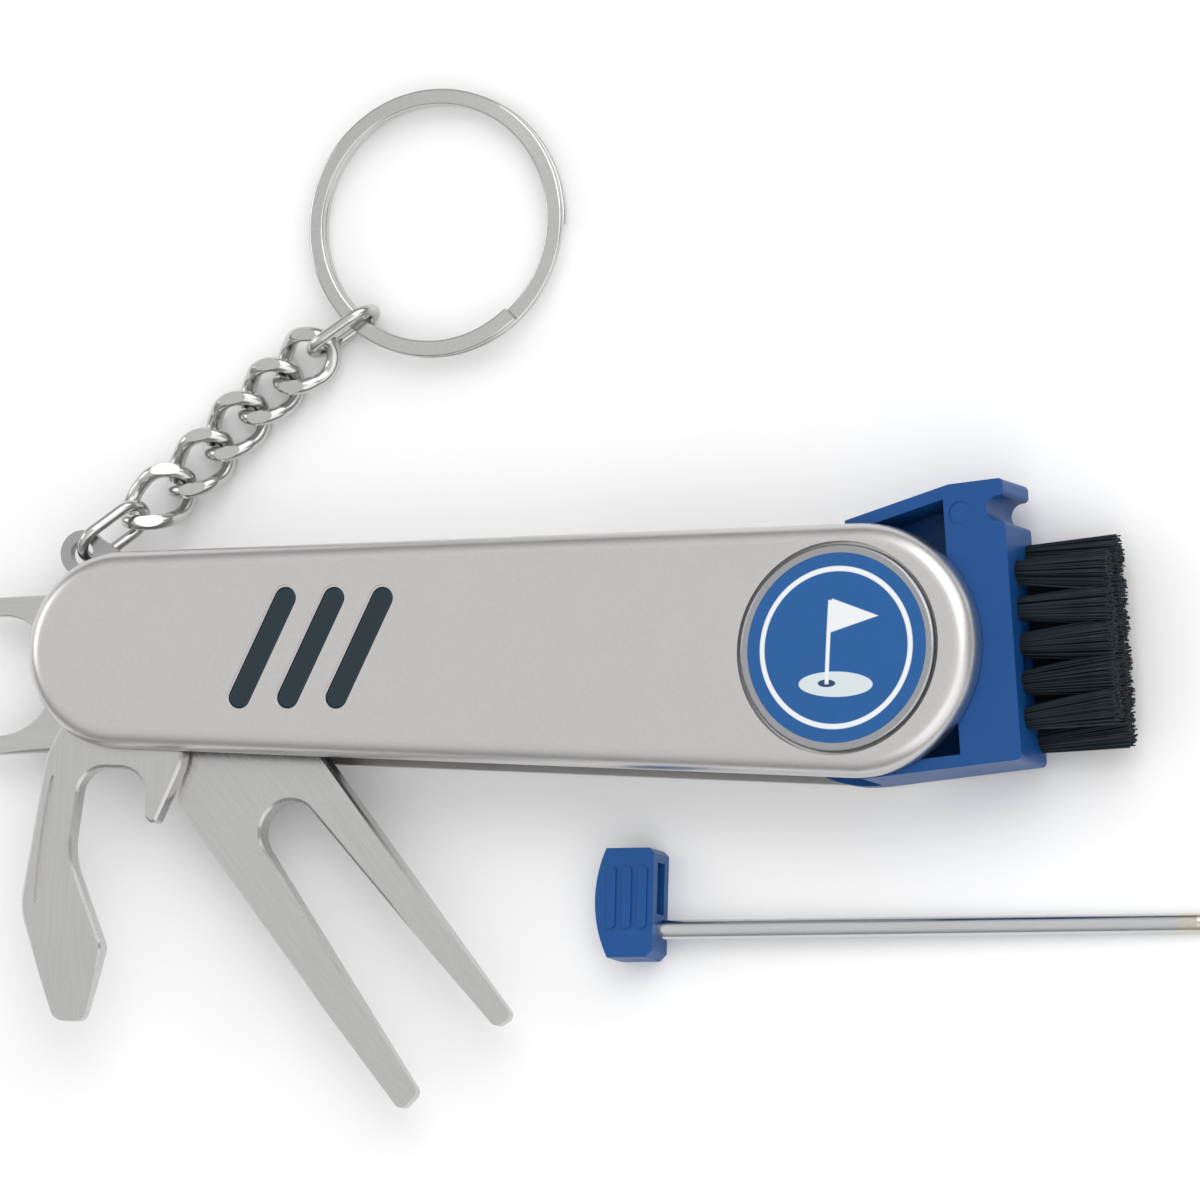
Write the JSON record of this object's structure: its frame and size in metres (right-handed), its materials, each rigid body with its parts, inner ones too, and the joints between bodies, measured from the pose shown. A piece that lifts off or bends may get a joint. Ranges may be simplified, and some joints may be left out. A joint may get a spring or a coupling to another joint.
{
  "type": "divot repair tool",
  "caption": "Folding golf pocket tool: steel case with divot fork, bottle opener, spike wrench, swing-out brush, magnetic ball marker, pen insert, chain and split ring.",
  "frame": {"origin": "on the back scale's flat face, half way between the blade pivot and the brush pivot", "axes": "+X along the case from the blade pivot towards the ball marker, +Z out of the front scale, +Y across the case towards the key lug side"},
  "size_m": [0.1649, 0.1201, 0.0159],
  "materials": {
    "case_steel": "satin, fine grain",
    "blade_steel": "ground and lightly polished",
    "pin_steel": "turned",
    "washer_brass": "plain",
    "spine_steel": "satin",
    "inlay": "dark slate",
    "magnet": "nickel plated",
    "marker_steel": "grey rim, satin",
    "enamel": "blue enamel with a white ring and a small flag over a hole, under a clear dome",
    "brush_plastic": "moulded, semi gloss blue",
    "bristle": "near black nylon tufts",
    "pen_plastic": "moulded blue",
    "refill": "bright tube",
    "point": "nickel silver point",
    "chain_steel": "bright plated wire",
    "ring_steel": "bright plated spring wire"
  },
  "bodies": {
    "case": {"front_scale": "case_steel", "back_scale": "case_steel", "slot_inlays": "inlay", "marker_magnets": "magnet", "blade_pivot_barrel": "pin_steel", "brush_pivot_barrel": "pin_steel", "blade_pivot_screw": "pin_steel", "brush_pivot_screw": "pin_steel", "spine_screw": "pin_steel", "blade_washers": "washer_brass", "spine": "spine_steel"},
    "fork": {"divot_fork": "blade_steel"},
    "opener": {"bottle_opener": "blade_steel"},
    "wrench": {"spike_wrench": "blade_steel"},
    "brush": {"brush_carrier": "brush_plastic", "front_bristles": "bristle", "back_bristles": "bristle"},
    "marker": {"marker_disc": "marker_steel", "marker_enamel": "enamel"},
    "pen": {"pen_head": "pen_plastic", "pen_refill": "refill", "pen_point": "point"},
    "link_1": {"chain_link_1": "chain_steel"},
    "link_2": {"chain_link_2": "chain_steel"},
    "link_3": {"chain_link_3": "chain_steel"},
    "link_4": {"chain_link_4": "chain_steel"},
    "link_5": {"chain_link_5": "chain_steel"},
    "link_6": {"chain_link_6": "chain_steel"},
    "link_7": {"chain_link_7": "chain_steel"},
    "ring": {"key_ring": "ring_steel"}
  },
  "joints": [
    {"name": "fork_hinge", "type": "hinge", "parent": "case", "child": "fork", "pos_m": [-0.0453, 0, 0.0071], "axis": [0, 0, 1], "range_deg": [-126, 46]},
    {"name": "opener_hinge", "type": "hinge", "parent": "case", "child": "opener", "pos_m": [-0.0453, 0, 0.0096], "axis": [0, 0, 1], "range_deg": [-86, 85]},
    {"name": "wrench_hinge", "type": "hinge", "parent": "case", "child": "wrench", "pos_m": [-0.0453, 0, 0.00435], "axis": [0, 0, 1], "range_deg": [0, 175]},
    {"name": "brush_hinge", "type": "hinge", "parent": "case", "child": "brush", "pos_m": [0.0453, 0, 0.00735], "axis": [0, 0, 1], "range_deg": [-176.5, 0]},
    {"name": "marker_lift", "type": "slide", "parent": "case", "child": "marker", "axis": [0, 0, 1], "range_m": [0, 0.012]},
    {"name": "pen_draw", "type": "slide", "parent": "case", "child": "pen", "axis": [1, 0, 0], "range_m": [0, 0.06]},
    {"name": "link_1_swing", "type": "hinge", "parent": "case", "child": "link_1", "pos_m": [-0.0536, 0.0119, 0.00735], "axis": [0, 0, 1], "range_deg": [-8, 12]},
    {"name": "link_2_swing", "type": "hinge", "parent": "link_1", "child": "link_2", "pos_m": [-0.0483, 0.0167, 0.0049], "axis": [0, 0, 1], "range_deg": [-3, 10]},
    {"name": "link_3_swing", "type": "hinge", "parent": "link_2", "child": "link_3", "pos_m": [-0.0436, 0.0207, 0.0028], "axis": [0, 0, 1], "range_deg": [-3, 10]},
    {"name": "link_4_swing", "type": "hinge", "parent": "link_3", "child": "link_4", "pos_m": [-0.0395, 0.0252, 0.0021], "axis": [0, 0, 1], "range_deg": [-3, 10]},
    {"name": "link_5_swing", "type": "hinge", "parent": "link_4", "child": "link_5", "pos_m": [-0.0354, 0.0296, 0.0021], "axis": [0, 0, 1], "range_deg": [-3, 10]},
    {"name": "link_6_swing", "type": "hinge", "parent": "link_5", "child": "link_6", "pos_m": [-0.0312, 0.0334, 0.0022], "axis": [0, 0, 1], "range_deg": [-3, 10]},
    {"name": "link_7_swing", "type": "hinge", "parent": "link_6", "child": "link_7", "pos_m": [-0.0264, 0.0368, 0.0031], "axis": [0, 0, 1], "range_deg": [-3, 10]},
    {"name": "ring_swing", "type": "hinge", "parent": "link_7", "child": "ring", "pos_m": [-0.0211, 0.0404, 0.00315], "axis": [0, 0, 1], "range_deg": [-12, 15]}
  ]
}
